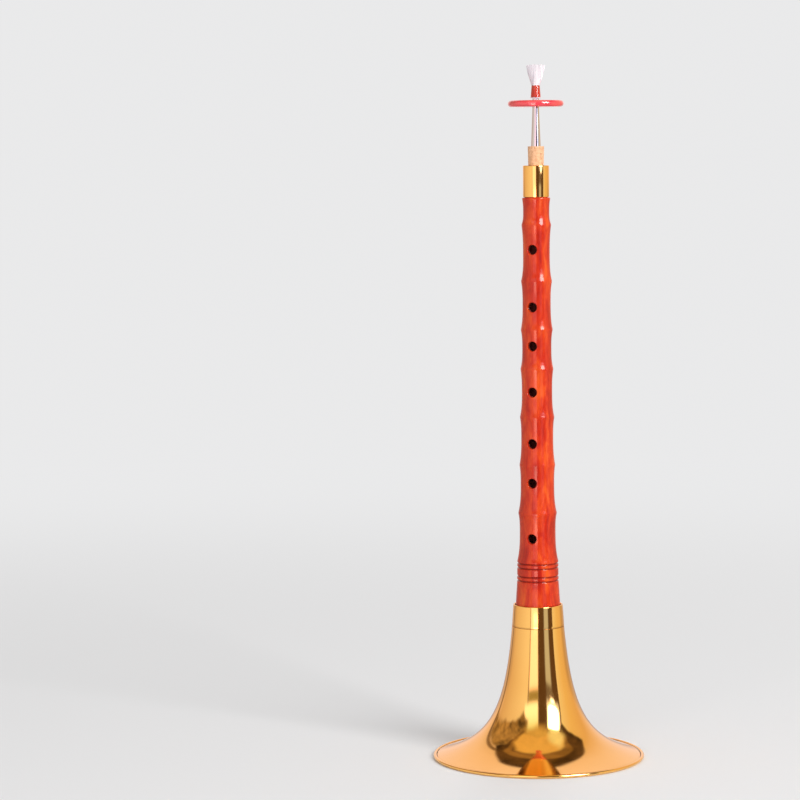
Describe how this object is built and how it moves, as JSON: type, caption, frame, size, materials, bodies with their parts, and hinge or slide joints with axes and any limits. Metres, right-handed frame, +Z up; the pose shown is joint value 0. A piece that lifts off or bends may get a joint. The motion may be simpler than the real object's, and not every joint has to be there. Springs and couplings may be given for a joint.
{
  "type": "suona",
  "caption": "Double-reed horn with a sheet brass bell, a scalloped wooden stem with finger holes, a staple in cork, a lip disc and a fan-shaped reed, standing on its bell.",
  "frame": {"origin": "centre of the bell rim's lowest plane, on the instrument's axis", "axes": "+Z up the instrument's axis from the bell to the reed, -Y out of the row of finger holes, +X across the reed's wide side"},
  "size_m": [0.127, 0.127, 0.415],
  "materials": {
    "brass": "polished and lacquered",
    "rim_wire": "drawn wire",
    "stem_wood": "red lacquer over rosewood grain",
    "cork": "cut cork with small pits",
    "staple_metal": "plated and polished",
    "disc_plastic": "glossy",
    "binding": "lacquered winding",
    "reed": "pale, finely striated blades"
  },
  "bodies": {
    "bell": {"bell": "brass", "rim_wire": "rim_wire", "bell_collar": "brass"},
    "stem": {"stem": "stem_wood", "tenon_cork": "cork", "top_ferrule": "brass"},
    "staple": {"staple": "staple_metal", "staple_cork": "cork"},
    "lip_disc": {"lip_disc": "disc_plastic"},
    "reed": {"reed": "reed", "reed_binding": "binding"}
  },
  "joints": [
    {"name": "stem_slide", "type": "slide", "parent": "bell", "child": "stem", "axis": [0, 0, 1], "range_m": [0, 0.022]},
    {"name": "staple_slide", "type": "slide", "parent": "stem", "child": "staple", "axis": [0, 0, 1], "range_m": [0, 0.018]},
    {"name": "lip_disc_slide", "type": "slide", "parent": "staple", "child": "lip_disc", "axis": [0, 0, 1], "range_m": [0, 0.012]},
    {"name": "reed_turn", "type": "hinge", "parent": "lip_disc", "child": "reed", "pos_m": [0, 0, 0.3953], "axis": [0, 0, 1], "continuous": true}
  ]
}
